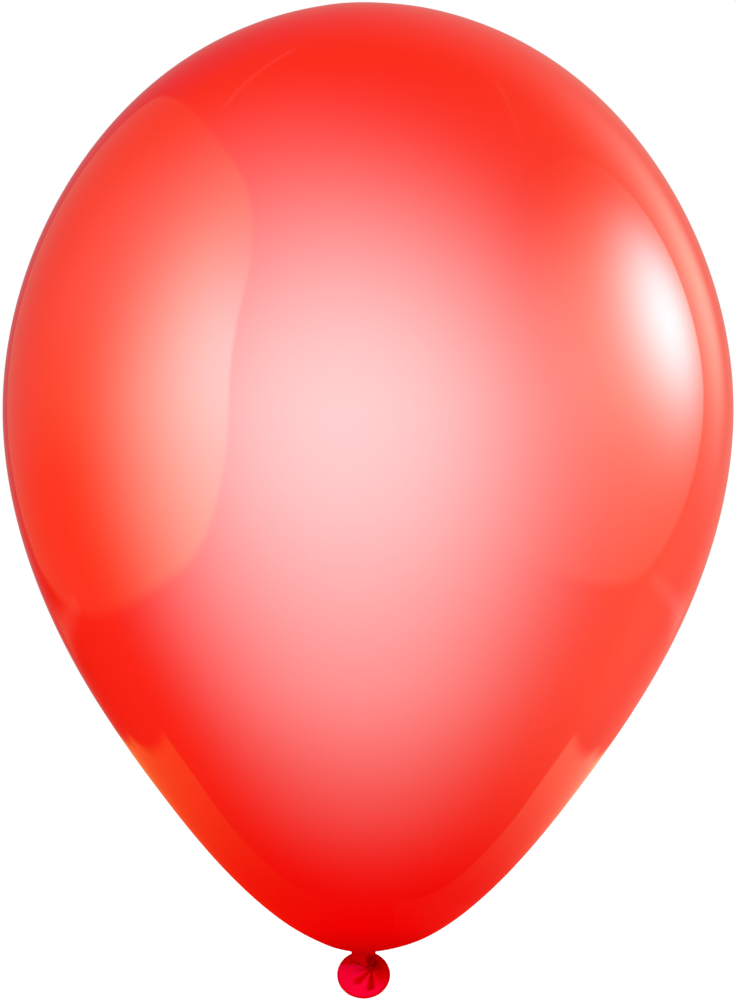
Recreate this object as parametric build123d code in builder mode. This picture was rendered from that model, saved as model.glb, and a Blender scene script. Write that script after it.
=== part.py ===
"""A knotted latex party balloon, blown up to 280 mm across.

The balloon is one dipped film, cut here where a hand would cut it on a bench:

* envelope - the blown-up bulb, a thin closed skin with a round throat at its foot
* neck - the cup of gathered film in that throat, which swings in it
* knot_core - the strand that runs down through the knot and ends in a ball
* knot_loop - the turn of film pulled tight round the strand
* tail_skirt - the flared nozzle past the knot, which flops about the ball
* rolled_lip - the bead rolled round the nozzle's mouth

Millimetres, +Z up. The origin is the middle of the neck, where a ribbon is tied.
The bulb's own axis stands a little to +X of it, because the film gathers to one side.
"""

import math
import os

from build123d import *

# The bulb
BULB_RADIUS = 140.0
CROWN_HEIGHT = 364.3
FOOT_HEIGHT = 0.27
BULB_AXIS_X = 1.7
FILM = 0.25  # thickness as dipped
# The outline from crown to foot, as radius and height, between its level ends.
BULB_STATIONS = [
    (66.2, 345.0),
    (111.8, 300.0),
    (BULB_RADIUS, 209.5),
    (117.2, 120.0),
    (78.4, 60.0),
    (42.5, 20.0),
    (22.3, 6.0),
]

# The neck, a ball-shaped cup that swings about its own centre
NECK_RADIUS = 4.6
NECK_WALL = 0.7
NECK_CENTRE = 0.5
NECK_RIM = 2.6  # height of the open top, inside the bulb
NECK_FLOOR = -0.9  # height of the underside
NECK_FLOOR_ROUND = 0.4
SWING_GAP = 0.3

# The knot
STRAND_RADIUS = 0.8
STRAND_TOP = 0.2
STRAND_ROUND = 0.4
STRAND_GAP = 0.08  # running clearance where the strand turns in the neck's floor
LOOP_HEIGHT = -2.45
LOOP_TURN_RADIUS = 2.0
LOOP_FILM_RADIUS = 1.25
BALL_HEIGHT = -5.8
BALL_RADIUS = 1.3

# The tail, measured along its own axis from the ball
TAIL_TILT = 60.0  # degrees back from straight down
TAIL_FILM = 0.35
TAIL_LENGTH = 5.6
COLLAR_GAP = 0.3
COLLAR_REACH = 70.0  # degrees from the axis that the collar wraps the ball
FLARE_RADIUS = 24.0
LIP_TURN_RADIUS = 9.4
LIP_BEAD_RADIUS = 0.8



def bulb_outline(points):
    """A smooth half outline that is level at the crown and at the foot."""
    return Spline(*points, tangents=[(1, 0), (-1, 0)], tangent_scalars=[1, 1])


def film_inside(outline, point):
    """The point that lies one film thickness inside the outline at one of its points."""
    inwards = outline.tangent_at(point).rotate(Axis.Z, -90)
    return Vector(point) + inwards * FILM


os.makedirs("parts", exist_ok=True)

# Envelope: the film's half section, turned about the bulb's own axis.
bulb_plane = Plane(origin=(BULB_AXIS_X, 0, 0), x_dir=(1, 0, 0), z_dir=(0, -1, 0))
outside_points = [(0, CROWN_HEIGHT), *BULB_STATIONS, (0, FOOT_HEIGHT)]
with BuildPart() as envelope:
    with BuildSketch(bulb_plane):
        with BuildLine():
            outside = bulb_outline(outside_points)
            inside = bulb_outline([film_inside(outside, point) for point in outside_points])
            Line(outside @ 0, inside @ 0)
            Line(outside @ 1, inside @ 1)
        make_face()
    revolve(axis=Axis(bulb_plane.origin, (0, 0, 1)))
    with Locations((0, 0, NECK_CENTRE)):
        Sphere(NECK_RADIUS + SWING_GAP, mode=Mode.SUBTRACT)
envelope.part.label = "envelope"
export_step(envelope.part, "parts/envelope.step")

# Neck: a ball cut level at top and bottom, hollowed from the top, and bored for the strand.
with BuildPart() as neck:
    with Locations((0, 0, NECK_CENTRE)):
        Sphere(NECK_RADIUS)
    split(bisect_by=Plane.XY.offset(NECK_RIM), keep=Keep.BOTTOM)
    split(bisect_by=Plane.XY.offset(NECK_FLOOR), keep=Keep.TOP)
    fillet(neck.edges().filter_by(GeomType.CIRCLE).sort_by(Axis.Z)[0], NECK_FLOOR_ROUND)
    offset(amount=-NECK_WALL, openings=neck.faces().sort_by(Axis.Z)[-1])
    with Locations((0, 0, NECK_FLOOR)):
        Cylinder(STRAND_RADIUS + STRAND_GAP, 4 * NECK_WALL, mode=Mode.SUBTRACT)
neck.part.label = "neck"
export_step(neck.part, "parts/neck.step")

# Knot core: a round-ended rod that swells into the ball at its foot.
with BuildPart() as knot_core:
    with Locations((0, 0, BALL_HEIGHT)):
        Cylinder(STRAND_RADIUS, STRAND_TOP - BALL_HEIGHT, align=(Align.CENTER, Align.CENTER, Align.MIN))
        Sphere(BALL_RADIUS)
    fillet(knot_core.edges().filter_by(GeomType.CIRCLE).sort_by(Axis.Z)[-1], STRAND_ROUND)
knot_core.part.label = "knot_core"
export_step(knot_core.part, "parts/knot_core.step")

# Knot loop: a ring of film whose inside is squeezed flat against the strand.
with BuildPart() as knot_loop:
    with Locations((0, 0, LOOP_HEIGHT)):
        Torus(LOOP_TURN_RADIUS, LOOP_FILM_RADIUS)
        Cylinder(STRAND_RADIUS, 4 * LOOP_FILM_RADIUS, mode=Mode.SUBTRACT)
knot_loop.part.label = "knot_loop"
export_step(knot_loop.part, "parts/knot_loop.step")

# The tail's half section: x runs out from its axis, y from the ball towards the mouth.
tilt = math.radians(TAIL_TILT)
tail_plane = Plane(
    origin=(0, 0, BALL_HEIGHT),
    x_dir=(1, 0, 0),
    z_dir=(0, math.cos(tilt), math.sin(tilt)),
)
tail_axis = Axis(tail_plane.origin, tail_plane.y_dir)
lip_centre = (LIP_TURN_RADIUS, TAIL_LENGTH)

# Tail skirt: a collar round the ball's far side, and a trumpet flare from it to the lip.
collar_radius = BALL_RADIUS + COLLAR_GAP + TAIL_FILM / 2
with BuildPart() as tail_skirt:
    with BuildSketch(tail_plane):
        with BuildLine():
            collar = CenterArc((0, 0), collar_radius, 90 + COLLAR_REACH, -2 * COLLAR_REACH)
            RadiusArc(collar @ 1, lip_centre, FLARE_RADIUS)
        trace(line_width=TAIL_FILM)
        split(bisect_by=Plane.YZ)
        with Locations(lip_centre):
            Circle(LIP_BEAD_RADIUS, mode=Mode.SUBTRACT)
    revolve(axis=tail_axis)
tail_skirt.part.label = "tail_skirt"
export_step(tail_skirt.part, "parts/tail_skirt.step")

# Rolled lip: the film's edge rolled up into a round bead.
with BuildPart() as rolled_lip:
    with BuildSketch(tail_plane):
        with Locations(lip_centre):
            Circle(LIP_BEAD_RADIUS)
    revolve(axis=tail_axis)
rolled_lip.part.label = "rolled_lip"
export_step(rolled_lip.part, "parts/rolled_lip.step")
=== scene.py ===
"""Looks of a knotted latex party balloon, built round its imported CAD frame.

Every piece is a stretch of one dipped film: the blown-up bulb, the gathered neck, the turn
and the strand of the knot, the creased tail and its rolled lip. Metres, in the CAD's frame.
"""

from __future__ import annotations

import logging
import math
from dataclasses import dataclass
from enum import Enum
from typing import Callable, Union

import bmesh
import bpy
import numpy as np
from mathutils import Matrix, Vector


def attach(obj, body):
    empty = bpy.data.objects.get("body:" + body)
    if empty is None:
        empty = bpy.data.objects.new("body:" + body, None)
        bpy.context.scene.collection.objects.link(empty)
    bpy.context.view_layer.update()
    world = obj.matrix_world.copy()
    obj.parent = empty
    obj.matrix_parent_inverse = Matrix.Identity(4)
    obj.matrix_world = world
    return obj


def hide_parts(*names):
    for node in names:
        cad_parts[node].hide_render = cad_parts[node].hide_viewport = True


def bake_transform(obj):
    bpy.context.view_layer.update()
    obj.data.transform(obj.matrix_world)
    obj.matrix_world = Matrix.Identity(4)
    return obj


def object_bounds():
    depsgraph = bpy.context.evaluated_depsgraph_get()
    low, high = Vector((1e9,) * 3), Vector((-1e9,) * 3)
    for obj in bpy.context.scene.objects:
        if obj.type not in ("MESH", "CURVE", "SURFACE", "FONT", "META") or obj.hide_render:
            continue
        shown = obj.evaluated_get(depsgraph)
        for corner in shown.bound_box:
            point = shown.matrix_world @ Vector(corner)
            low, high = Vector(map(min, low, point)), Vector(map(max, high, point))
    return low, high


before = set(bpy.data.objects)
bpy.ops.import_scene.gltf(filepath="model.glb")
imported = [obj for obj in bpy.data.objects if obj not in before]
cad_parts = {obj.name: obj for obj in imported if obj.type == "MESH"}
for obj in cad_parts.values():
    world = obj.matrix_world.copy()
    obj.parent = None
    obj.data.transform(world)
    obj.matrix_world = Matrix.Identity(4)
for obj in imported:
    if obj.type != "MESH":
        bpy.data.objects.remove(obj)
CAD_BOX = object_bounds()

LOG = logging.getLogger("balloon")
MM = 0.001
TURN = 2 * math.pi
# Mesh attribute of how gathered the film is, with painted shade in its creases, folds and shadowed sides.
BUNCHING_AND_SHADE = "bunching_and_shade"
WHITE = (1.0, 1.0, 1.0, 1.0)

Colour = tuple[float, float, float]
Paint = tuple[float, float, float, float]


# --------------------------------------------------------------------------- shader maths


class Signal:
    """A number carried by a shader socket, so that shader maths reads as arithmetic."""

    def __init__(self, graph: "Graph", socket: bpy.types.NodeSocket) -> None:
        """Wrap a socket.

        Args:
            graph: the node graph that the socket belongs to.
            socket: the output socket that carries the number.
        """
        self.graph = graph
        self.socket = socket

    def __add__(self, other: "Number") -> "Signal":
        """Sum."""
        return self.graph.maths("ADD", self, other)

    def __radd__(self, other: "Number") -> "Signal":
        """Sum, with the number first."""
        return self.graph.maths("ADD", other, self)

    def __sub__(self, other: "Number") -> "Signal":
        """Difference."""
        return self.graph.maths("SUBTRACT", self, other)

    def __rsub__(self, other: "Number") -> "Signal":
        """Difference, with the number first."""
        return self.graph.maths("SUBTRACT", other, self)

    def __mul__(self, other: "Number") -> "Signal":
        """Product."""
        return self.graph.maths("MULTIPLY", self, other)

    def __rmul__(self, other: "Number") -> "Signal":
        """Product, with the number first."""
        return self.graph.maths("MULTIPLY", other, self)

    def __truediv__(self, other: "Number") -> "Signal":
        """Quotient."""
        return self.graph.maths("DIVIDE", self, other)

    def __rtruediv__(self, other: "Number") -> "Signal":
        """Quotient, with the number divided."""
        return self.graph.maths("DIVIDE", other, self)

    def __neg__(self) -> "Signal":
        """The number with its sign turned."""
        return self.graph.maths("MULTIPLY", self, -1.0)


Number = Union[Signal, float]


class Graph:
    """A node tree, with one way to add a node and a few sums that are used over and over."""

    def __init__(self, tree: bpy.types.NodeTree) -> None:
        """Start from an empty tree.

        Args:
            tree: the node tree of a material or of the world.
        """
        self.tree = tree
        tree.nodes.clear()

    def node(self, kind: str, settings: dict | None = None, inputs: dict | None = None) -> bpy.types.Node:
        """Add a node.

        Args:
            kind: Blender's type name of the node.
            settings: properties, which are set first.
            inputs: socket name or number to a value, a Signal or an output socket.

        Returns:
            The new node.
        """
        made = self.tree.nodes.new(kind)
        for name, value in (settings or {}).items():
            setattr(made, name, value)
        for key, value in (inputs or {}).items():
            source = value.socket if isinstance(value, Signal) else value
            if isinstance(source, bpy.types.NodeSocket):
                self.tree.links.new(source, made.inputs[key])
            else:
                made.inputs[key].default_value = source
        return made

    def maths(self, operation: str, *values: Number) -> Signal:
        """The result of a Math node's operation on one to three numbers."""
        made = self.node("ShaderNodeMath", {"operation": operation}, dict(enumerate(values)))
        return Signal(self, made.outputs[0])

    def smooth(self, value: Number, low: float, high: float) -> Signal:
        """A smooth step of a number.

        Args:
            value: the number.
            low: where the step starts from 0.
            high: where the step reaches 1.

        Returns:
            The step, from 0 to 1.
        """
        limits = {"Value": value, "From Min": low, "From Max": high}
        made = self.node("ShaderNodeMapRange", {"interpolation_type": "SMOOTHSTEP"}, limits)
        return Signal(self, made.outputs["Result"])

    def bell(self, value: Number, middle: float, spread: float) -> Signal:
        """A bell curve of value, 1 at middle and 0.61 one spread away."""
        offset = (value - middle) / spread
        return self.maths("EXPONENT", offset * offset * -0.5)

    def split(self, vector: bpy.types.NodeSocket) -> tuple[Signal, Signal, Signal]:
        """The three numbers of a vector."""
        made = self.node("ShaderNodeSeparateXYZ", inputs={0: vector})
        return tuple(Signal(self, made.outputs[axis]) for axis in range(3))

    def noise(self, place: bpy.types.NodeSocket, scale: float, detail: float = 2.0) -> Signal:
        """Soft noise between 0 and 1 at a place, with scale in features per metre."""
        made = self.node("ShaderNodeTexNoise", inputs={"Vector": place, "Scale": scale, "Detail": detail})
        return Signal(self, made.outputs["Fac"])

    def blend_colours(self, amount: Number, first: object, second: object) -> bpy.types.NodeSocket:
        """A colour that goes from first to second as amount goes from 0 to 1."""
        made = self.node("ShaderNodeMix", {"data_type": "RGBA"}, {0: amount, 6: first, 7: second})
        return made.outputs[2]

    def scaled(self, colour: Colour, amount: Number) -> bpy.types.NodeSocket:
        """A colour times a number, as a vector."""
        made = self.node("ShaderNodeVectorMath", {"operation": "SCALE"}, {0: colour, "Scale": amount})
        return made.outputs[0]

    def dot(self, first: bpy.types.NodeSocket, second: tuple[float, float, float]) -> Signal:
        """The dot product of a vector and a fixed one."""
        made = self.node("ShaderNodeVectorMath", {"operation": "DOT_PRODUCT"}, {0: first, 1: second})
        return Signal(self, made.outputs["Value"])

    def total(self, first: bpy.types.NodeSocket, second: bpy.types.NodeSocket) -> bpy.types.NodeSocket:
        """The sum of two colours held as vectors."""
        made = self.node("ShaderNodeVectorMath", {"operation": "ADD"}, {0: first, 1: second})
        return made.outputs[0]


# --------------------------------------------------------------------------- mesh helpers


class Ends(Enum):
    """How the first or the last ring of a lofted skin is finished."""

    POINT = "point"
    LOOP = "loop"


def loft(name: str, rings: np.ndarray, ends: Ends, bunching_and_shade: np.ndarray | None = None) -> bpy.types.Object:
    """Skin a stack of closed rings into one smooth mesh.

    Args:
        name: the new piece's name.
        rings: ring, place round the ring, coordinate, in metres.
        ends: POINT closes both ends to a middle point, LOOP joins the last ring to the first.
        bunching_and_shade: how bunched the film is at each point, with painted shade added as more
            bunching, from 0 for single lit film to 1.

    Returns:
        The new object, linked to the scene.
    """
    count, around, _ = rings.shape
    points = [tuple(p) for p in rings.reshape(-1, 3)]
    faces = []
    bands = count if ends is Ends.LOOP else count - 1
    for band in range(bands):
        low, high = band * around, ((band + 1) % count) * around
        for k in range(around):
            after = (k + 1) % around
            faces.append((low + k, low + after, high + after, high + k))
    if ends is Ends.POINT:
        for ring, flip in ((0, False), (count - 1, True)):
            middle = len(points)
            points.append(tuple(rings[ring].mean(axis=0)))
            for k in range(around):
                edge = (ring * around + (k + 1) % around, ring * around + k)
                faces.append((middle, *(reversed(edge) if flip else edge)))
    mesh = bpy.data.meshes.new(name)
    mesh.from_pydata(points, [], faces)
    mesh.validate()
    face_outwards(mesh)
    if bunching_and_shade is not None:
        values = np.ones(len(points), dtype=np.float32)
        values[: count * around] = np.clip(bunching_and_shade, 0.0, 1.0).ravel()
        mesh.attributes.new(BUNCHING_AND_SHADE, "FLOAT", "POINT").data.foreach_set("value", values)
    mesh.shade_smooth()
    piece = bpy.data.objects.new(name, mesh)
    bpy.context.scene.collection.objects.link(piece)
    return piece


def face_outwards(mesh: bpy.types.Mesh) -> None:
    """Turn a closed mesh's faces so that their normals point out of it.

    Args:
        mesh: the closed mesh, which is changed in place.
    """
    work = bmesh.new()
    work.from_mesh(mesh)
    bmesh.ops.recalc_face_normals(work, faces=work.faces)
    work.to_mesh(mesh)
    work.free()


def ease(value: np.ndarray, low: float, high: float) -> np.ndarray:
    """A smooth step of each value, from 0 at low to 1 at high."""
    t = np.clip((value - low) / (high - low), 0.0, 1.0)
    return t * t * (3 - 2 * t)


def smooth_path(points: tuple[tuple[float, float], ...], count: int) -> np.ndarray:
    """A rounded curve through a few points, as count points.

    Args:
        points: the points to pass through.
        count: points to give.

    Returns:
        The curve's points.
    """
    knots = np.array(points)
    last = len(knots) - 1
    where = np.linspace(0.0, last, count)
    span = np.minimum(where.astype(int), last - 1)
    t = (where - span)[:, None]
    before = knots[np.maximum(span - 1, 0)]
    start, finish = knots[span], knots[span + 1]
    after = knots[np.minimum(span + 2, last)]
    slope_in, slope_out = (finish - before) / 2, (after - start) / 2
    return (
        (2 * t**3 - 3 * t**2 + 1) * start
        + (t**3 - 2 * t**2 + t) * slope_in
        + (3 * t**2 - 2 * t**3) * finish
        + (t**3 - t**2) * slope_out
    )


def folds(angle: np.ndarray, places: tuple[tuple[float, float, float], ...]) -> np.ndarray:
    """The depth of a set of creases round a ring.

    Args:
        angle: places round the ring, in radians.
        places: each crease's place and half width in degrees, and its depth.

    Returns:
        The depth at each angle.
    """
    depth = np.zeros_like(angle)
    for middle, width, deep in places:
        off = (angle - math.radians(middle) + math.pi) % TURN - math.pi
        depth += deep * np.exp(-0.5 * (off / math.radians(width)) ** 2)
    return depth


# --------------------------------------------------------------------------- finishes


@dataclass(frozen=True)
class PaintedGlow:
    """A painted glow: a pale patch painted into the film's colour where it faces the eye, standing in for
    light from behind that comes straight through.

    Attributes:
        up: slope of the film at the patch's middle, up from square to the eye.
        spread: how far it reaches, as slopes sideways and up.
        amount: how strongly the glow is painted at its middle.
    """

    up: float
    spread: tuple[float, float]
    amount: float

    def paleness(self, graph: Graph, sideways: Signal, up: Signal) -> Signal:
        """How strongly the glow is painted, from the film's squared sideways slope and its upward slope."""
        side = graph.maths("EXPONENT", sideways * (-0.5 / self.spread[0] ** 2))
        return self.amount * side * graph.bell(up, self.up, self.spread[1])


@dataclass(frozen=True)
class Latex:
    """A red latex film: under a clear gloss where it is stretched, and matt where it is not.

    Attributes:
        name: the material's name.
        bunched: the colour where the film is gathered or unstretched, and where shade is painted on it.
        thin: the colour where the film is stretched or lies single and unshaded.
        middle: the colour between the two, or None.
        cloud: how much soft clouds change the colour.
        tight: heights in metres over which the film gets stretched, or None for slack film.
        crown: heights in metres over which it thickens again towards the crown.
        root: the colour where the bulb draws in to its throat, or None.
        rooted: heights in metres over which the root's colour ends.
        first_shine: how much of the gloss there is at the foot.
        foot: heights in metres over which that first gloss comes in.
        shine: heights in metres over which the rest of the gloss comes in.
        painted_glows: painted glows: pale patches painted into the stretched film's colour where it faces
            the eye, standing in for light from behind shining through.
        pale: the colour of that painted light.
        roughness: roughness of the film under its gloss.
        grain: height of the film's fine grain, in metres.
    """

    name: str
    bunched: Paint
    thin: Paint
    middle: Paint | None = None
    cloud: float = 0.0
    tight: tuple[float, float] | None = None
    crown: tuple[float, float] = (0.330, 0.364)
    root: Paint | None = None
    rooted: tuple[float, float] = (-0.002, 0.012)
    first_shine: float = 0.04
    foot: tuple[float, float] = (0.002, 0.020)
    shine: tuple[float, float] = (0.020, 0.108)
    painted_glows: tuple[PaintedGlow, ...] = ()
    pale: Paint = (1.0, 0.98, 1.0, 1.0)
    roughness: float = 0.4
    grain: float = 0.00001

    def material(self) -> bpy.types.Material:
        """Build the film's node material.

        Returns:
            The material.
        """
        made = bpy.data.materials.new(self.name)
        made.use_nodes = True
        graph = Graph(made.node_tree)
        place = graph.node("ShaderNodeTexCoord").outputs["Object"]
        _, _, height = graph.split(place)
        clouds = graph.noise(place, 14.0, 3.0)
        streaks = graph.noise(place, 55.0, 4.0)
        grain = graph.noise(place, 2600.0, 2.0)
        if self.tight:
            thinness_and_light = graph.smooth(height, *self.tight) * (1 - graph.smooth(height, *self.crown))
            first = self.first_shine * graph.smooth(height, *self.foot)
            gloss: Number = first + (1 - self.first_shine) * graph.smooth(height, *self.shine)
        else:
            # Slack film takes its colour from the bunching attribute, which also holds painted shade; high
            # values are darker.
            folded = graph.node("ShaderNodeAttribute", {"attribute_name": BUNCHING_AND_SHADE})
            thinness_and_light = 1 - Signal(graph, folded.outputs["Fac"])
            gloss = 0.0
        thinness_and_light = thinness_and_light * (1 + self.cloud * (clouds + 0.5 * streaks - 0.75))
        if self.middle:
            half = graph.blend_colours(graph.smooth(thinness_and_light, 0.0, 0.65), self.bunched, self.middle)
            tint = graph.blend_colours(graph.smooth(thinness_and_light, 0.60, 1.0), half, self.thin)
        else:
            tint = graph.blend_colours(thinness_and_light, self.bunched, self.thin)
        dark = tuple(0.82 * part for part in self.bunched[:3]) + (1.0,)
        colour = graph.blend_colours(0.30 * grain * (0.4 + 0.6 * streaks), tint, dark)
        if self.root:
            colour = graph.blend_colours(graph.smooth(height, *self.rooted), self.root, colour)
        if self.painted_glows:
            # Painted glow: the stretched film's colour is painted paler where it faces the eye, standing in
            # for light from behind shining through.
            colour = graph.blend_colours(gloss * self._painted_glow(graph), colour, self.pale)
        bump = graph.node(
            "ShaderNodeBump",
            inputs={"Strength": 0.4, "Distance": self.grain, "Height": grain + 1.5 * streaks},
        )
        skin = graph.node(
            "ShaderNodeBsdfPrincipled",
            inputs={
                "Base Color": colour,
                "Roughness": self.roughness + 0.10 * streaks,
                "IOR": 1.5,
                "Specular IOR Level": 0.0,
                "Coat Weight": gloss,
                "Coat Roughness": 0.03,
                "Coat IOR": 1.5,
                "Normal": bump.outputs[0],
            },
        )
        graph.node("ShaderNodeOutputMaterial", inputs={"Surface": skin.outputs[0]})
        return made

    def _painted_glow(self, graph: Graph) -> Signal:
        """How strongly all the painted glows together are painted into the film's colour.

        Args:
            graph: the film's node graph.

        Returns:
            The paleness, from 0 upwards.
        """
        facing = graph.node("ShaderNodeLayerWeight", inputs={"Blend": 0.5}).outputs["Facing"]
        square = graph.maths("MAXIMUM", 1 - Signal(graph, facing), 0.05)
        _, _, rise = graph.split(graph.node("ShaderNodeNewGeometry").outputs["Normal"])
        up = rise / square
        sideways = graph.maths("MAXIMUM", 1 / (square * square) - 1 - up * up, 0.0)
        pale = [window.paleness(graph, sideways, up) for window in self.painted_glows]
        return sum(pale[1:], pale[0])


STRETCHED = Latex(
    name="stretched_latex",
    # Two painted glows: pale patches painted into the bulb's colour where it faces the eye.
    painted_glows=(
        PaintedGlow(up=-0.41, spread=(0.464, 0.385), amount=0.222),
        PaintedGlow(up=0.054, spread=(0.374, 0.314), amount=0.340),
    ),
    bunched=(0.750, 0.0004, 0.0006, 1.0),
    thin=(0.758, 0.018, 0.0075, 1.0),
    cloud=0.25,
    tight=(0.006, 0.086),
    crown=(0.284, 0.372),
    root=(0.52, 0.0006, 0.0008, 1.0),
    roughness=0.35,
)
GATHERED = Latex(
    name="gathered_latex",
    bunched=(0.27, 0.0003, 0.0006, 1.0),
    thin=(0.58, 0.0008, 0.0016, 1.0),
    grain=0.00002,
)
TAIL_FILM = Latex(
    name="tail_latex",
    bunched=(0.32, 0.0003, 0.0006, 1.0),
    thin=(0.98, 0.0008, 0.044, 1.0),
    middle=(0.71, 0.0006, 0.0012, 1.0),
    grain=0.00002,
)
ROLLED = Latex(
    name="rolled_latex",
    bunched=(0.45, 0.0008, 0.012, 1.0),
    thin=(0.62, 0.0010, 0.020, 1.0),
    grain=0.00003,
)


def dress(piece: bpy.types.Object, finish: Latex) -> None:
    """Give a piece its material."""
    piece.data.materials.append(finish.material())


# --------------------------------------------------------------------------- the balloon


@dataclass
class Bulb:
    """The blown-up bulb, down to the creased throat that hangs from it.

    Attributes:
        stations: the outline from crown to foot, as radius and height in millimetres.
        axis_x: how far the bulb's own axis stands off the tie, in metres.
        around: points round each ring.
        throat: radius of the throat, in metres.
        turn: radius of the bend from bulb to throat, in metres.
        throat_end: height at which the throat ends, in metres.
        crease: depth of the creases that run in to the throat, in metres.
        creases: how many there are.
        creased: distance from the axis within which the film is creased, in metres.
        settled: distance from the axis past which the bulb stands on its own axis, in metres.
    """

    stations: tuple[tuple[float, float], ...] = (
        (0.0, 364.3),
        (66.2, 345.0),
        (111.8, 300.0),
        (140.0, 209.5),
        (117.2, 120.0),
        (78.4, 60.0),
        (42.5, 20.0),
        (22.3, 6.0),
        (0.0, 0.27),
    )
    axis_x: float = 1.7 * MM
    around: int = 256
    throat: float = 4.6 * MM
    turn: float = 0.7 * MM
    throat_end: float = -0.45 * MM
    crease: float = 0.30 * MM
    creases: int = 11
    creased: float = 15 * MM
    settled: float = 22 * MM

    def outline(self, count: int) -> np.ndarray:
        """The outline as a smooth curve, level at the crown and at the foot.

        Args:
            count: points to give, spaced evenly along the curve's parameter.

        Returns:
            Radius and height of each point, in metres, from the crown down.
        """
        knots = np.array(self.stations) * MM
        steps = np.hypot(*np.diff(knots, axis=0).T)
        slopes = self._slopes(knots, steps)
        along = np.concatenate(([0.0], np.cumsum(steps)))
        where = np.linspace(0.0, along[-1], count)
        span = np.clip(np.searchsorted(along, where, side="right") - 1, 0, len(steps) - 1)
        length = steps[span][:, None]
        t = ((where - along[span]) / steps[span])[:, None]
        start = (2 * t**3 - 3 * t**2 + 1) * knots[span] + (t**3 - 2 * t**2 + t) * length * slopes[span]
        finish = (3 * t**2 - 2 * t**3) * knots[span + 1] + (t**3 - t**2) * length * slopes[span + 1]
        return start + finish

    @staticmethod
    def _slopes(knots: np.ndarray, steps: np.ndarray) -> np.ndarray:
        """The slopes that make the curve through the stations bend without a break.

        Args:
            knots: the stations, as radius and height.
            steps: the distance from each station to the next.

        Returns:
            The curve's slope at each station.
        """
        count = len(knots)
        system = np.eye(count)
        target = np.zeros_like(knots)
        target[0], target[-1] = (1.0, 0.0), (-1.0, 0.0)
        chords = np.diff(knots, axis=0) / steps[:, None]
        for k in range(1, count - 1):
            before, after = steps[k - 1], steps[k]
            system[k, k - 1 : k + 2] = (after, 2 * (before + after), before)
            target[k] = 3 * (after * chords[k - 1] + before * chords[k])
        return np.linalg.solve(system, target)

    def build(self) -> bpy.types.Object:
        """Make the bulb's skin and dress it.

        Returns:
            The skin.
        """
        outer = self.outline(260)[1:]
        joint = self.throat + self.turn
        outer = outer[outer[:, 0] > joint * 1.06]
        floor = outer[-1, 1] - 0.02 * MM
        bend = [
            (joint - self.turn * math.sin(a), floor - self.turn * (1 - math.cos(a)))
            for a in np.linspace(0.15, math.pi / 2, 9)
        ]
        tube = [(self.throat, height) for height in np.linspace(bend[-1][1], self.throat_end, 4)[1:]]
        tuck = [(self.throat * 0.93, self.throat_end - 0.05 * MM), (self.throat * 0.6, self.throat_end)]
        path = np.array([*outer, *bend, *tube, *tuck])
        angle = np.linspace(0.0, TURN, self.around, endpoint=False)
        radius, height = path[:, 0][:, None], path[:, 1][:, None]
        drawn_in = (1 - ease(radius, self.throat, self.creased)) * (height < 2 * self.creased)
        wander = 0.9 * np.sin(2 * angle + 0.6) + 0.7 * np.sin(3 * angle)
        lobes = 0.5 + 0.5 * np.cos(self.creases * angle + wander)
        crease = self.crease * drawn_in**2 * lobes[None, :]
        centre = self.axis_x * ease(radius, self.throat, self.settled)
        reach = radius - 0.5 * crease
        rise = height + crease * ease(radius, self.throat, 1.3 * self.throat)
        rings = np.stack([centre + reach * np.cos(angle), reach * np.sin(angle), rise + 0 * angle], axis=-1)
        skin = loft("envelope_skin", rings, Ends.POINT)
        dress(skin, STRETCHED)
        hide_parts("envelope")
        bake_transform(skin)
        return skin


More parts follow.
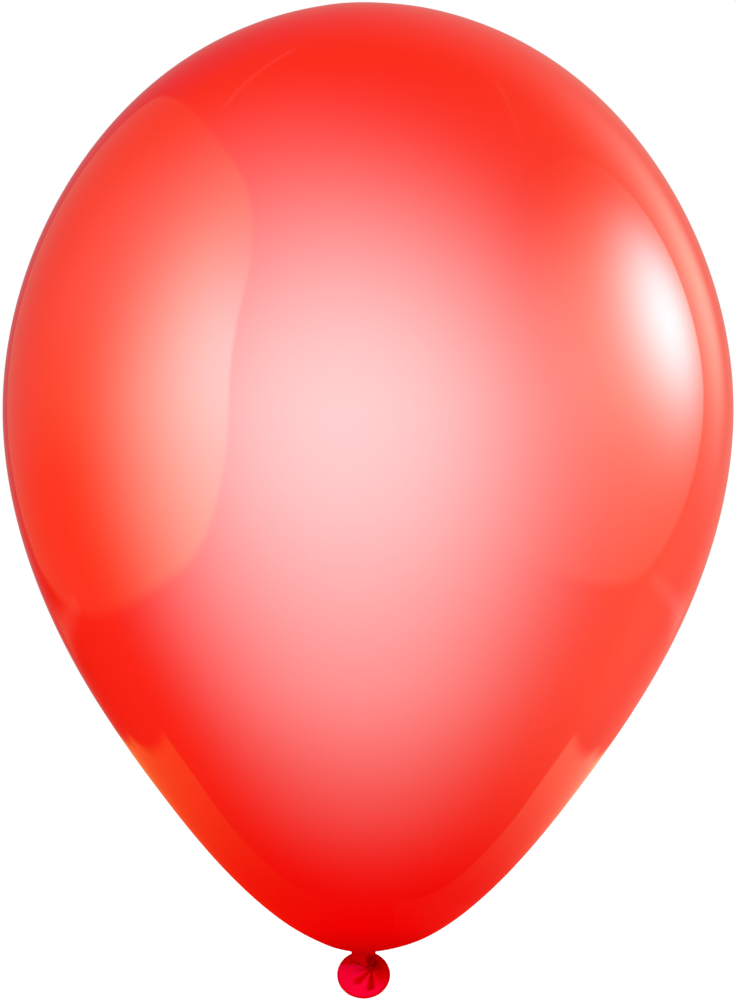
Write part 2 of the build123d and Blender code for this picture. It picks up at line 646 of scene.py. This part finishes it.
@dataclass
class Neck:
    """The film that hangs from the throat in soft gathers and wraps over the knot.

    Attributes:
        profile: its outline, as radius and height in metres, from inside the throat down.
        creases: its folds, as place and half width in degrees, and depth in metres.
        lean: how far its foot leans towards the tail's root, in metres.
        lean_from: depths below the tie over which it leans, in metres.
        fold_from: depths below the tie over which its folds come in, in metres.
        slender: radius under which the folds get shallower, in metres.
        shaded: how much shade is painted on its right side.
    """

    profile: tuple[tuple[float, float], ...] = (
        (4.00 * MM, 0.35 * MM),
        (4.30 * MM, 0.00 * MM),
        (4.60 * MM, -0.50 * MM),
        (4.55 * MM, -1.30 * MM),
        (4.36 * MM, -2.30 * MM),
        (4.05 * MM, -3.20 * MM),
        (3.45 * MM, -4.05 * MM),
        (2.45 * MM, -4.75 * MM),
        (1.20 * MM, -5.05 * MM),
    )
    creases: tuple[tuple[float, float, float], ...] = (
        (-50, 10, 1.5 * MM),
        (-95, 12, 0.16 * MM),
        (-138, 8, 0.35 * MM),
        (-172, 9, 0.40 * MM),
        (-16, 9, 0.55 * MM),
        (22, 8, 0.60 * MM),
        (64, 9, 0.50 * MM),
        (108, 8, 0.60 * MM),
        (150, 8, 0.45 * MM),
    )
    lean: tuple[float, float] = (1.1 * MM, 0.0)
    lean_from: tuple[float, float] = (2.4 * MM, 5.2 * MM)
    fold_from: tuple[float, float] = (0.3 * MM, 3.6 * MM)
    slender: float = 3.2 * MM
    shaded: float = 0.74

    def build(self) -> bpy.types.Object:
        """Make the gathers.

        Returns:
            The gathers.
        """
        angle = np.linspace(0.0, TURN, 180, endpoint=False)
        depth = folds(angle, self.creases)
        right = ease(np.cos(angle), 0.05, 0.38)
        rings, bunching_and_shade = [], []
        for radius, height in smooth_path(self.profile, 56):
            below = np.array(-height)
            folded = ease(below, *self.fold_from)
            reach = radius - depth * folded * min(1.0, radius / self.slender)
            centre = np.array(self.lean) * ease(below, *self.lean_from)
            across, along = centre[0] + reach * np.cos(angle), centre[1] + reach * np.sin(angle)
            rings.append(np.stack([across, along, height + 0 * angle], axis=-1))
            # Painted shade: darker on the right side and down the deeper creases; gathered film below the
            # tie is also darker for real.
            shade = self.shaded * ease(below, -0.2 * MM, 1.2 * MM) * right
            bunching_and_shade.append(0.05 + 0.15 * folded + shade + 0.8 * folded * depth / (1.2 * MM))
        gathers = loft("neck_gathers", np.array(rings), Ends.POINT, np.array(bunching_and_shade))
        dress(gathers, GATHERED)
        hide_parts("neck")
        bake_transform(gathers)
        return gathers


@dataclass
class Knot:
    """The turn of film pulled tight, and the strand that it grips.

    Attributes:
        height: height of the turn's middle, in metres.
        turn: radius of the turn, in metres.
        film: radius of the bunched film in the turn, in metres.
        lean: slope of the turn from side to side.
        shift: how far the turn sits off the strand, in metres.
        girth: radius of the strand, in metres.
        strand: the strand's line, from inside the neck to inside the tail, in metres.
    """

    height: float = -2.75 * MM
    turn: float = 2.0 * MM
    film: float = 1.25 * MM
    lean: float = 0.15
    shift: float = -0.20 * MM
    girth: float = 0.95 * MM
    strand: tuple[tuple[float, float, float], ...] = (
        (0.0, 0.0, -1.3 * MM),
        (0.2 * MM, 0.0, -3.4 * MM),
        (1.6 * MM, 0.0, -5.0 * MM),
        (3.05 * MM, 0.45 * MM, -5.85 * MM),
        (3.2 * MM, 1.55 * MM, -6.60 * MM),
    )

    def build(self) -> list[bpy.types.Object]:
        """Make the turn and the strand, and let both ride on the knot."""
        return [self._turn(), self._strand()]

    def _turn(self) -> bpy.types.Object:
        """The turn, a fat soft ring whose film is folded along its length.

        Returns:
            The turn.
        """
        section = np.linspace(0.0, TURN, 72, endpoint=False)
        rings, bunching_and_shade = [], []
        for a in np.linspace(0.0, TURN, 120, endpoint=False):
            fat = self.film * (1 + 0.10 * math.cos(a + 2.3) + 0.05 * math.sin(2 * a))
            fold = np.abs(np.sin(2.5 * section + 1.0 * a)) ** 0.6
            girth = fat * (1 - 0.06 * fold)
            out = self.turn + girth * np.cos(section)
            up = self.height + girth * np.sin(section) + self.lean * self.turn * math.cos(a)
            rings.append(np.stack([self.shift + out * math.cos(a), out * math.sin(a), up], axis=-1))
            # Painted shade in the folds of the turn, on top of its bunched film.
            bunching_and_shade.append(0.6 + 0.4 * fold)
        wrap = loft("knot_wrap", np.array(rings), Ends.LOOP, np.array(bunching_and_shade))
        dress(wrap, GATHERED)
        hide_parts("knot_loop")
        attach(wrap, "knot")
        return wrap

    def _strand(self) -> bpy.types.Object:
        """The strand, a pleated stalk that bends over into the tail's root.

        Returns:
            The strand.
        """
        section = np.linspace(0.0, TURN, 96, endpoint=False)
        path = smooth_path(self.strand, 60)
        headings = np.gradient(path, axis=0)
        rings, bunching_and_shade = [], []
        for t, middle, heading in zip(np.linspace(0.0, 1.0, len(path)), path, headings):
            along = heading / np.linalg.norm(heading)
            side = np.cross(along, (0.0, 1.0, 0.0))
            side /= np.linalg.norm(side)
            across = np.cross(along, side)
            girth = self.girth * (1 - 0.15 * ease(np.array(t), 0.5, 0.9))
            pleat = np.abs(np.sin(3.5 * section + 2.5 * t))
            reach = girth * (1 - 0.14 * pleat)
            ring = np.outer(reach * np.cos(section), side) + np.outer(reach * np.sin(section), across)
            rings.append(middle + ring)
            # Painted shade down the pleats, on top of the bunched film.
            bunching_and_shade.append(0.55 + 0.45 * pleat)
        strand = loft("knot_strand", np.array(rings), Ends.POINT, np.array(bunching_and_shade))
        dress(strand, GATHERED)
        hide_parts("knot_core")
        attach(strand, "knot")
        return strand


@dataclass
class Tail:
    """The flared, creased nozzle past the knot, and the bead rolled round its mouth.

    Attributes:
        pivot: where the tail folds on the knot, in metres.
        tilt: degrees that its axis stands back from straight down.
        length: distance from the pivot to the lip's middle plane, in metres.
        lip: radius of the lip's ring, in metres.
        bead: radius of the bead, in metres.
        film: thickness of the film, in metres.
        star: where the creases meet, sideways and upwards off the axis, in metres.
        root: radius of the skirt where it starts at the star, in metres.
        start: distance from the pivot to that start, along the axis, in metres.
        dark: the middle of a dark spot of painted shade, sideways and upwards off the axis, in metres.
        creases: from the star, each crease's direction and half width in degrees, its depth
            in metres, and how far it runs, as a share of the way to the lip.
    """

    pivot: tuple[float, float, float] = (0.0, 0.0, -5.8 * MM)
    tilt: float = 60.0
    length: float = 5.6 * MM
    lip: float = 9.4 * MM
    bead: float = 0.80 * MM
    film: float = 0.25 * MM
    star: tuple[float, float] = (3.1 * MM, 0.3 * MM)
    root: float = 0.75 * MM
    start: float = 0.55 * MM
    dark: tuple[float, float] = (5.4 * MM, 2.2 * MM)
    creases: tuple[tuple[float, float, float, float], ...] = (
        (-146, 10, 1.00 * MM, 0.72),
        (-93, 12, 1.25 * MM, 0.86),
        (-28, 12, 0.15 * MM, 0.70),
        (34, 14, 0.22 * MM, 0.75),
        (82, 12, 0.80 * MM, 0.80),
        (128, 9, 0.80 * MM, 0.80),
        (170, 9, 0.35 * MM, 0.60),
    )

    def frame(self) -> tuple[np.ndarray, np.ndarray, np.ndarray, np.ndarray]:
        """The tail's own frame.

        Returns:
            The pivot, and the tail's sideways, upward and outgoing directions.
        """
        lean = math.radians(self.tilt)
        side = np.array([1.0, 0.0, 0.0])
        out = np.array([0.0, math.sin(lean), -math.cos(lean)])
        return np.array(self.pivot), side, np.cross(side, out), out

    def place(self, across: np.ndarray, upward: np.ndarray, along: np.ndarray) -> np.ndarray:
        """Places in the row's frame from the tail's own sideways, upward and outgoing lengths."""
        pivot, side, up, out = self.frame()
        return pivot + across[..., None] * side + upward[..., None] * up + along[..., None] * out

    def build(self) -> list[bpy.types.Object]:
        """Make the skirt and the lip."""
        return [self._skirt(), self._lip()]

    def _skirt(self) -> bpy.types.Object:
        """The skirt, a trumpet of even film that is pulled together at the star.

        Returns:
            The skirt.
        """
        angle = np.linspace(0.0, TURN, 360, endpoint=False)
        edge = self.lip + self.bead * math.cos(math.radians(100))
        rim = edge * np.stack([np.cos(angle), np.sin(angle)], axis=-1)
        spoke = rim - np.array(self.star)
        reach = np.linalg.norm(spoke, axis=-1)
        heading = np.arctan2(spoke[:, 1], spoke[:, 0])
        rise = self.length - self.bead - self.start
        outer, inner, bunching_and_shade = [], [], []
        for s in np.linspace(0.0, 1.0, 72):
            at = np.array(self.star) + spoke * ((self.root + (reach - self.root) * s) / reach)[:, None]
            dip, crease_shade = self._creased(heading, s)
            along = self.start + rise * (1 - (1 - s) ** 2.1) ** 0.8 + dip
            outer.append(self.place(at[:, 0], at[:, 1], along))
            inner.append(self.place(at[:, 0], at[:, 1], along + self.film))
            bunching_and_shade.append(crease_shade + self._painted_shade(at, heading, s))
        for a in np.linspace(-100, -25, 12)[1:]:
            turn = math.radians(a)
            for shell, grow in ((outer, 0.02 * MM), (inner, -0.12 * MM)):
                radius = self.lip + (self.bead + grow) * math.cos(turn)
                level = self.length + (self.bead + grow) * math.sin(turn)
                shell.append(self.place(radius * np.cos(angle), radius * np.sin(angle), level + 0 * angle))
            bunching_and_shade.append(bunching_and_shade[71] + 0.5 * (a + 100) / 75)
        rings = np.array(outer + inner[::-1])
        skirt = loft("tail_frill", rings, Ends.LOOP, np.array(bunching_and_shade + bunching_and_shade[::-1]))
        dress(skirt, TAIL_FILM)
        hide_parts("tail_skirt")
        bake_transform(skirt)
        return skirt

    def _creased(self, heading: np.ndarray, s: float) -> tuple[np.ndarray, np.ndarray]:
        """The creases round one ring of the skirt.

        Args:
            heading: each point's direction from the star, in radians.
            s: how far out the ring is, from 0 at the star to 1 at the lip.

        Returns:
            How deep the film dips at each point, in metres, and the shade painted along the creases.
        """
        dip, crease_shade = np.zeros_like(heading), np.zeros_like(heading)
        out = np.array(s)
        for toward, width, deep, run in self.creases:
            off = (heading - math.radians(toward) + math.pi) % TURN - math.pi
            line = np.exp(-0.5 * (off / (math.radians(width) * (1.15 - 0.55 * s))) ** 2)
            dip += deep * line * ease(out, 0.0, 0.12) * (1 - ease(out, run - 0.30, run))
            # Painted shade along each crease, deeper creases darker.
            crease_shade += 0.75 * deep / (1.35 * MM) * line * (1 - ease(out, run - 0.25, run + 0.05))
        return dip, crease_shade

    def _painted_shade(self, at: np.ndarray, heading: np.ndarray, s: float) -> np.ndarray:
        """Painted shade between the creases: on the right, round a dark spot, under the knot and round the
        star.

        Args:
            at: each point's sideways and upward places, in metres.
            heading: each point's direction from the star, in radians.
            s: how far out the ring is, from 0 at the star to 1 at the lip.

        Returns:
            How bunched that makes the film.
        """
        # Painted shade: darker towards the right, round the dark spot, under the knot and round the star.
        right = 0.30 * ease(np.cos(heading - math.radians(12)), -0.25, 0.85) * (1 - 0.40 * s)
        pulled = np.hypot(at[:, 0] - self.dark[0], at[:, 1] - self.dark[1]) / (3.4 * MM)
        left = ease(-at[:, 0], -2.0 * MM, 2.0 * MM)
        shade_under_knot = ease(at[:, 1], 2.5 * MM, 5.0 * MM) * (0.10 + 0.25 * left)
        star = 0.4 * (1 - ease(np.array(s), 0.0, 0.16))
        return right + 0.40 * np.exp(-0.5 * pulled**2) + shade_under_knot + star

    def _lip(self) -> bpy.types.Object:
        """The lip, a bead whose rolled edge shows as a fine line inside the mouth.

        Returns:
            The lip.
        """
        section = np.linspace(0.0, TURN, 40, endpoint=False)
        rings = []
        for a in np.linspace(0.0, TURN, 260, endpoint=False):
            fat = self.bead * (1 - 0.02 + 0.02 * math.sin(5 * a + 1.0) + 0.015 * math.sin(11 * a))
            seam = 1 - 0.16 * np.exp(-(((section - 2.5) / 0.16) ** 2))
            radius = self.lip + fat * seam * np.cos(section)
            along = self.length + fat * seam * np.sin(section)
            rings.append(self.place(radius * math.cos(a), radius * math.sin(a), along))
        lip = loft("lip_bead", np.array(rings), Ends.LOOP, np.full((260, 40), 0.4))
        dress(lip, ROLLED)
        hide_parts("rolled_lip")
        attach(lip, "tail")
        return lip


# --------------------------------------------------------------------------- the studio


class Wall(Enum):
    """A side wall of the studio, by the sign of x on its side."""

    LEFT = -1
    RIGHT = 1


@dataclass(frozen=True)
class Glow:
    """A broad soft light in front of the balloon, with no edge.

    Attributes:
        middle: where it stands, right and up from straight ahead, as the tangent of half the angle.
        spread: how far it reaches sideways and up, on the same scale.
        colour: its light at the middle.
    """

    middle: tuple[float, float]
    spread: tuple[float, float]
    colour: Colour

    def light(self, graph: Graph, right: Signal, up: Signal) -> bpy.types.NodeSocket:
        """The glow's colour in each direction."""
        sideways = graph.bell(right, self.middle[0], self.spread[0])
        return graph.scaled(self.colour, sideways * graph.bell(up, self.middle[1], self.spread[1]))


@dataclass(frozen=True)
class Softbox:
    """A softbox on a side wall.

    Places on the wall are forward and up, in units of the wall's distance.

    Attributes:
        wall: which wall it is on.
        reach: its rear and front edges.
        rise: its lower and upper edges.
        corner: radius of its corners.
        edge: width of its soft edge.
        taper: how fast it gets taller towards the front.
        colour: the even light of its whole face.
        fade: from where to where that light dies away towards the front, or None.
        fade_up: from where to where all its light dies away upwards, or None.
        lamps: the lamps behind its face, as middle, spread and colour.
        back: how far back its outline changes; past that it goes on as it is.
    """

    wall: Wall
    reach: tuple[float, float]
    rise: tuple[float, float]
    corner: float
    edge: float
    taper: float
    colour: Colour
    fade: tuple[float, float] | None
    fade_up: tuple[float, float] | None
    lamps: tuple[tuple[tuple[float, float], tuple[float, float], Colour], ...]
    back: float = 8.0

    def light(self, graph: Graph, x: Signal, y: Signal, z: Signal) -> bpy.types.NodeSocket:
        """The softbox's colour in each direction.

        Args:
            graph: the sky's node graph.
            x: the direction's part to the right.
            y: its part to the back.
            z: its part up.

        Returns:
            The colour, as a vector.
        """
        away = graph.maths("MAXIMUM", x * float(self.wall.value), 0.0001)
        forward = graph.maths("MAXIMUM", graph.maths("MINIMUM", -y / away, 8.0), -self.back)
        up = graph.maths("MAXIMUM", graph.maths("MINIMUM", z / away, 8.0), -8.0)
        mask = self._face(graph, forward, up) * graph.maths("GREATER_THAN", away, 0.001)
        if self.fade_up:
            mask = mask * (1 - graph.smooth(up, *self.fade_up))
        even: Number = mask
        if self.fade:
            even = mask * (1 - graph.smooth(forward, *self.fade))
        light = graph.scaled(self.colour, even)
        for middle, spread, colour in self.lamps:
            bright = graph.bell(forward, middle[0], spread[0]) * graph.bell(up, middle[1], spread[1])
            light = graph.total(light, graph.scaled(colour, mask * bright))
        return light

    def _face(self, graph: Graph, forward: Signal, up: Signal) -> Signal:
        """The softbox's outline.

        Args:
            graph: the sky's node graph.
            forward: place on the wall, forward.
            up: place on the wall, up.

        Returns:
            1 inside and 0 outside, with a soft edge.
        """
        middle_f, half_f = sum(self.reach) / 2, (self.reach[1] - self.reach[0]) / 2
        middle_u, half_u = sum(self.rise) / 2, (self.rise[1] - self.rise[0]) / 2
        height = half_u * (1 + self.taper * (forward - middle_f))
        past_f = graph.maths("ABSOLUTE", forward - middle_f) - (half_f - self.corner)
        past_u = graph.maths("ABSOLUTE", up - middle_u) - (height - self.corner)
        out_f, out_u = graph.maths("MAXIMUM", past_f, 0.0), graph.maths("MAXIMUM", past_u, 0.0)
        outside = graph.maths("SQRT", out_f * out_f + out_u * out_u)
        inside = graph.maths("MINIMUM", graph.maths("MAXIMUM", past_f, past_u), 0.0)
        return 1 - graph.smooth(outside + inside, self.corner - self.edge, self.corner)


@dataclass(frozen=True)
class Tube:
    """A thin straight lamp, which the gloss shows as a fine line.

    Attributes:
        start: direction of one end.
        finish: direction of the other end.
        width: half its width, as a share of its distance.
        colour: its light.
    """

    start: tuple[float, float, float]
    finish: tuple[float, float, float]
    width: float
    colour: Colour

    def light(self, graph: Graph, direction: bpy.types.NodeSocket) -> bpy.types.NodeSocket:
        """The tube's colour in each direction.

        Args:
            graph: the sky's node graph.
            direction: the direction, as a vector.

        Returns:
            The colour, as a vector.
        """
        first, last = Vector(self.start).normalized(), Vector(self.finish).normalized()
        across = first.cross(last).normalized()
        middle = (first + last).normalized()
        along = across.cross(middle)
        half = abs(last.dot(along))
        off, place, facing = (graph.dot(direction, tuple(axis)) for axis in (across, along, middle))
        inside = 1 - graph.smooth(graph.maths("ABSOLUTE", place), 0.75 * half, half)
        bright = graph.bell(off, 0.0, self.width) * inside * graph.maths("GREATER_THAN", facing, 0.0)
        return graph.scaled(self.colour, bright)


@dataclass(frozen=True)
class Room:
    """The dim light of the studio's walls in the gloss: low and high, in front and behind.

    Attributes:
        front: colours in front of the balloon, low and high.
        behind_left: colours behind it on the left, low and high.
        behind_right: colours behind it on the right, low and high.
        level: from which to which height the low colour turns into the high one.
        depth: from which to which depth the front turns into the back.
    """

    front: tuple[Colour, Colour] = ((1.38, 0.0, 0.0), (1.04, 0.25, 0.09))
    behind_left: tuple[Colour, Colour] = ((0.62, 0.0, 0.0), (0.32, 0.11, 0.15))
    behind_right: tuple[Colour, Colour] = ((1.24, 0.32, 0.23), (0.98, 0.4, 0.31))
    level: tuple[float, float] = (-0.21, 0.05)
    depth: tuple[float, float] = (0.34, 0.85)

    def light(self, graph: Graph, x: Signal, y: Signal, z: Signal) -> bpy.types.NodeSocket:
        """The room's colour in each direction.

        Args:
            graph: the sky's node graph.
            x: the direction's part to the right.
            y: its part to the back.
            z: its part up.

        Returns:
            The colour.
        """
        high = graph.smooth(z, *self.level)
        front, left, right = (
            graph.blend_colours(high, (*low, 1.0), (*top, 1.0))
            for low, top in (self.front, self.behind_left, self.behind_right)
        )
        behind = graph.blend_colours(graph.smooth(x, -0.5, 0.5), left, right)
        return graph.blend_colours(graph.smooth(y, *self.depth), front, behind)


@dataclass
class Studio:
    """The white studio: its soft sky, pale floor and camera.

    Attributes:
        glows: the broad lights in front.
        softboxes: the softboxes on the side walls.
        tubes: the thin lamps.
        room: the walls' own dim light.
        dome: brightness of the even light that falls on everything.
        drop: how far the floor lies under the balloon, in metres.
        distance: camera's distance from the balloon's middle, in metres.
        view_height: height that the camera takes in at the balloon, in metres.
        view_middle: what the camera looks at, in metres.
        sensor: the camera's sensor, in millimetres.
    """

    glows: tuple[Glow, ...]
    softboxes: tuple[Softbox, ...]
    tubes: tuple[Tube, ...]
    room: Room = Room()
    dome: float = 1.3
    drop: float = 0.12
    distance: float = 4.0
    view_height: float = 0.38325
    view_middle: tuple[float, float, float] = (0.00169, 0.0, 0.1736)
    sensor: float = 36.0

    def build(self) -> None:
        """Set up sky, floor and camera."""
        self._sky()
        self._floor()
        self._camera()
        bpy.context.scene.view_settings.view_transform = "Standard"

    def _sky(self) -> None:
        """The sky: softboxes in the gloss, an even dome on matt surfaces, white behind."""
        world = bpy.data.worlds.new("studio")
        bpy.context.scene.world = world
        world.use_nodes = True
        world.cycles.sampling_method = "NONE"
        graph = Graph(world.node_tree)
        direction = graph.node("ShaderNodeTexCoord").outputs["Generated"]
        x, y, z = graph.split(direction)
        sky = self.room.light(graph, x, y, z)
        depth = 1.00001 - y
        right, up = x / depth, z / depth
        for glow in self.glows:
            sky = graph.total(sky, glow.light(graph, right, up))
        for softbox in self.softboxes:
            sky = graph.total(sky, softbox.light(graph, x, y, z))
        for tube in self.tubes:
            sky = graph.total(sky, tube.light(graph, direction))
        rays = graph.node("ShaderNodeLightPath").outputs
        dome = (self.dome, self.dome, self.dome, 1.0)
        seen = graph.blend_colours(rays["Is Diffuse Ray"], sky, dome)
        seen = graph.blend_colours(rays["Is Camera Ray"], seen, WHITE)
        background = graph.node("ShaderNodeBackground", inputs={"Color": seen, "Strength": 1.0})
        graph.node("ShaderNodeOutputWorld", inputs={"Surface": background.outputs[0]})

    def _floor(self) -> None:
        """A wide round pale floor under the balloon."""
        low, _ = CAD_BOX
        angle = np.linspace(0.0, TURN, 96, endpoint=False)
        radii = np.array([0.5, 1.5, 4.0, 12.0])[:, None]
        level = low[2] - self.drop
        rings = np.stack([radii * np.cos(angle), radii * np.sin(angle), level + 0 * radii * angle], axis=-1)
        points = [tuple(p) for p in rings.reshape(-1, 3)]
        count = len(angle)
        faces = [tuple(range(count))]
        for band in range(len(radii) - 1):
            for k in range(count):
                after = (k + 1) % count
                low_ring, high_ring = band * count, (band + 1) * count
                faces.append((low_ring + k, high_ring + k, high_ring + after, low_ring + after))
        mesh = bpy.data.meshes.new("floor")
        mesh.from_pydata(points, [], faces)
        floor = bpy.data.objects.new("floor", mesh)
        bpy.context.scene.collection.objects.link(floor)
        floor.visible_glossy = False
        paint = bpy.data.materials.new("pale_floor")
        paint.use_nodes = True
        graph = Graph(paint.node_tree)
        matt = graph.node("ShaderNodeBsdfDiffuse", inputs={"Color": (0.92, 0.92, 0.92, 1.0)})
        graph.node("ShaderNodeOutputMaterial", inputs={"Surface": matt.outputs[0]})
        mesh.materials.append(paint)

    def _camera(self) -> None:
        """A long lens, level with the balloon's middle and square to its front."""
        data = bpy.data.cameras.new("camera")
        data.sensor_width = self.sensor
        data.lens = self.sensor * self.distance / self.view_height
        data.clip_end = 100.0
        camera = bpy.data.objects.new("camera", data)
        bpy.context.scene.collection.objects.link(camera)
        camera.location = Vector(self.view_middle) - Vector((0.0, self.distance, 0.0))
        camera.rotation_euler = (math.pi / 2, 0.0, 0.0)
        bpy.context.scene.camera = camera


GLOWS = (
    Glow(middle=(-0.45, 0.05), spread=(0.326, 0.411), colour=(3.2, 3.2, 3.2)),
    Glow(middle=(1.2, -0.55), spread=(0.63, 0.6), colour=(0.75, 0.75, 0.43)),
    Glow(middle=(-0.58, 0.57), spread=(0.66, 0.35), colour=(0.77, 0.72, 0.94)),
    Glow(middle=(-1.17, -1.56), spread=(1.7, 2.48), colour=(0.44, 0.0, 0.0)),
    Glow(middle=(2.69, 0.86), spread=(0.8, 0.68), colour=(1.55, 1.55, 1.24)),
)
SOFTBOXES = (
    Softbox(
        wall=Wall.LEFT,
        reach=(-2.9, 1.06),
        rise=(-0.53, 1.39),
        corner=0.78,
        edge=0.06,
        taper=0.125,
        colour=(0.15, 0.15, 0.07),
        fade=None,
        fade_up=None,
        lamps=(
            ((0.84, 0.33), (0.37, 0.38), (2.68, 2.68, 3.21)),
            ((0.55, -0.26), (0.45, 1.26), (1.64, 1.64, 0.20)),
        ),
    ),
    Softbox(
        wall=Wall.RIGHT,
        reach=(-0.93, 1.8),
        rise=(-0.72, 1.3),
        corner=0.55,
        edge=0.05,
        taper=0.26,
        colour=(0.09, 0.09, 0.03),
        fade=(0.19, 1.98),
        fade_up=(0.44, 1.3),
        lamps=(
            ((0.05, 0.25), (0.37, 0.42), (3.26, 3.26, 2.52)),
            ((-0.41, 0.28), (0.27, 0.19), (10.0, 10.0, 10.94)),
        ),
    ),
    Softbox(
        wall=Wall.LEFT,
        reach=(-3.0, -0.78),
        rise=(-5.0, -0.746),
        corner=0.05,
        edge=0.04,
        taper=-0.040,
        colour=(0.30, 0.27, 0.05),
        fade=None,
        fade_up=None,
        lamps=(
            ((-1.0, -2.0), (1.2, 0.7), (0.40, 0.40, 0.05)),
        ),
        back=2.2,
    ),
    Softbox(
        wall=Wall.RIGHT,
        reach=(-3.0, -0.84),
        rise=(-5.0, -0.763),
        corner=0.05,
        edge=0.04,
        taper=-0.028,
        colour=(0.62, 0.62, 0.38),
        fade=None,
        fade_up=None,
        lamps=(
            ((-1.0, -2.0), (1.2, 0.7), (0.60, 0.60, 0.30)),
        ),
        back=2.2,
    ),
)


TUBES = (
    Tube(start=(0.83, 0.42, -0.36), finish=(0.21, 0.97, -0.10), width=0.008, colour=(0.17, 0.17, 0.17)),
    Tube(start=(-0.70, 0.63, -0.33), finish=(-0.26, 0.96, -0.13), width=0.010, colour=(0.12, 0.12, 0.08)),
    Tube(start=(-0.50, 0.30, 0.81), finish=(-0.19, 0.56, 0.81), width=0.008, colour=(0.16, 0.16, 0.19)),
    Tube(start=(0.38, 0.46, 0.80), finish=(0.58, 0.11, 0.81), width=0.008, colour=(0.12, 0.12, 0.12)),
)


def main() -> None:
    """Build the studio and the balloon, and report each piece."""
    logging.basicConfig(level=logging.INFO, format="%(name)s: %(message)s")
    Studio(glows=GLOWS, softboxes=SOFTBOXES, tubes=TUBES).build()
    builders: tuple[Callable[[], object], ...] = (Bulb().build, Neck().build, Knot().build, Tail().build)
    for build in builders:
        made = build()
        for piece in made if isinstance(made, list) else [made]:
            LOG.info("%s: %d faces", piece.name, len(piece.data.polygons))


if __name__ == "__main__":
    main()
